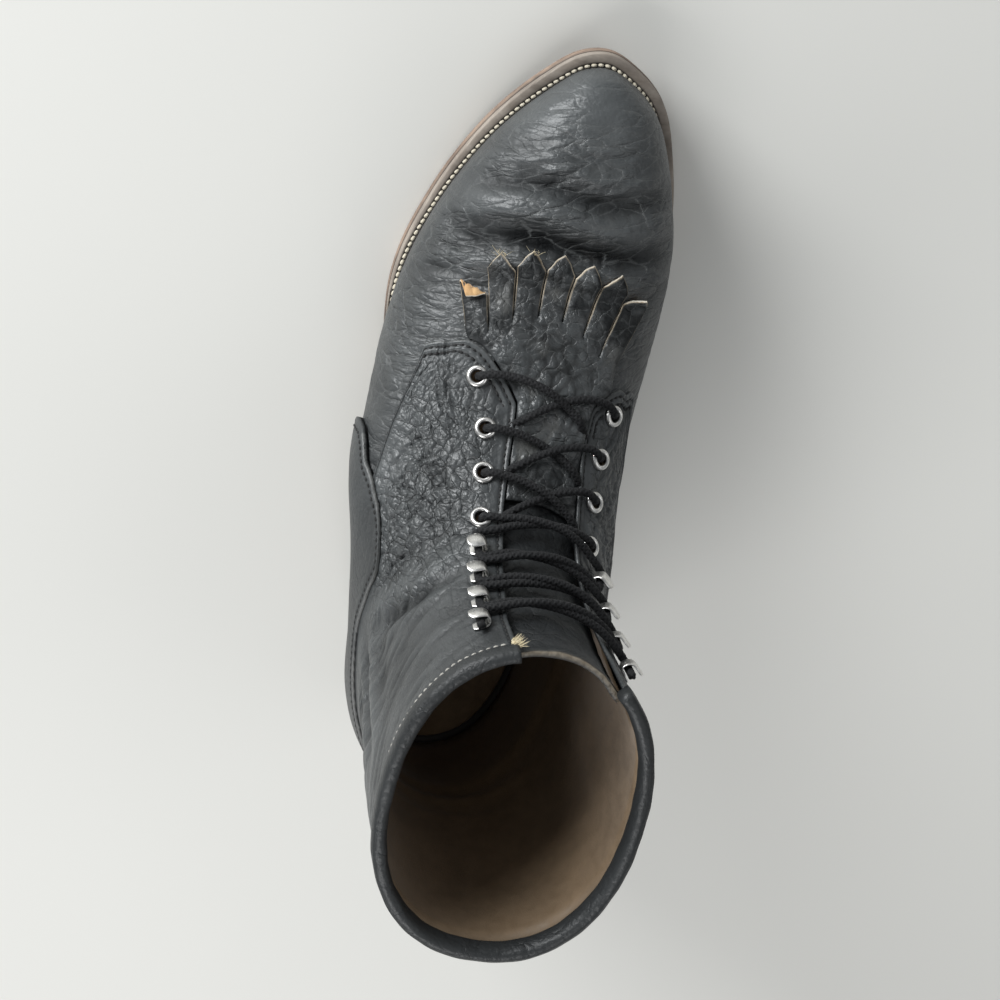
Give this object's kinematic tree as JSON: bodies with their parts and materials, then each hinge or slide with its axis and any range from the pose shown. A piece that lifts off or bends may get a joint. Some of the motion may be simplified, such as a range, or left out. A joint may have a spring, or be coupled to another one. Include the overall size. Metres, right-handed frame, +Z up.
{
  "type": "lace-up work boot",
  "caption": "Left ankle-high lace-up work boot with a round toe, a fringed kiltie flap under the laces, a welted leather sole and a stacked heel.",
  "frame": {"origin": "middle of the overall box at the floor", "axes": "+X towards the toe, +Y to the outer (wearer's left) side, +Z up"},
  "size_m": [0.3026, 0.1182, 0.1911],
  "materials": {
    "black_leather": "pebbled, worn satin",
    "sole_leather": "worn cut edge",
    "welt_leather": "dyed, stitched with pale thread",
    "heel_leather": "inked edge",
    "heel_rubber": "matt",
    "lining_leather": "natural, smooth",
    "nickel": "bright nickel plate",
    "lace_cord": "round braid"
  },
  "bodies": {
    "root": {"outsole": "sole_leather", "welt": "welt_leather", "insole": "lining_leather", "heel_stack": "heel_leather", "heel_lift": "heel_rubber", "upper": "black_leather", "counter": "black_leather", "collar_binding": "black_leather", "tongue": "black_leather", "kiltie": "black_leather", "eyelet_outer_1": "nickel", "eyelet_outer_2": "nickel", "eyelet_outer_3": "nickel", "eyelet_outer_4": "nickel", "eyelet_inner_1": "nickel", "eyelet_inner_2": "nickel", "eyelet_inner_3": "nickel", "eyelet_inner_4": "nickel", "hook_outer_1": "nickel", "hook_outer_2": "nickel", "hook_outer_3": "nickel", "hook_outer_4": "nickel", "hook_inner_1": "nickel", "hook_inner_2": "nickel", "hook_inner_3": "nickel", "hook_inner_4": "nickel", "lace_cross_1": "lace_cord", "lace_cross_2": "lace_cord", "lace_cross_3": "lace_cord", "lace_hooked": "lace_cord"}
  },
  "joints": []
}
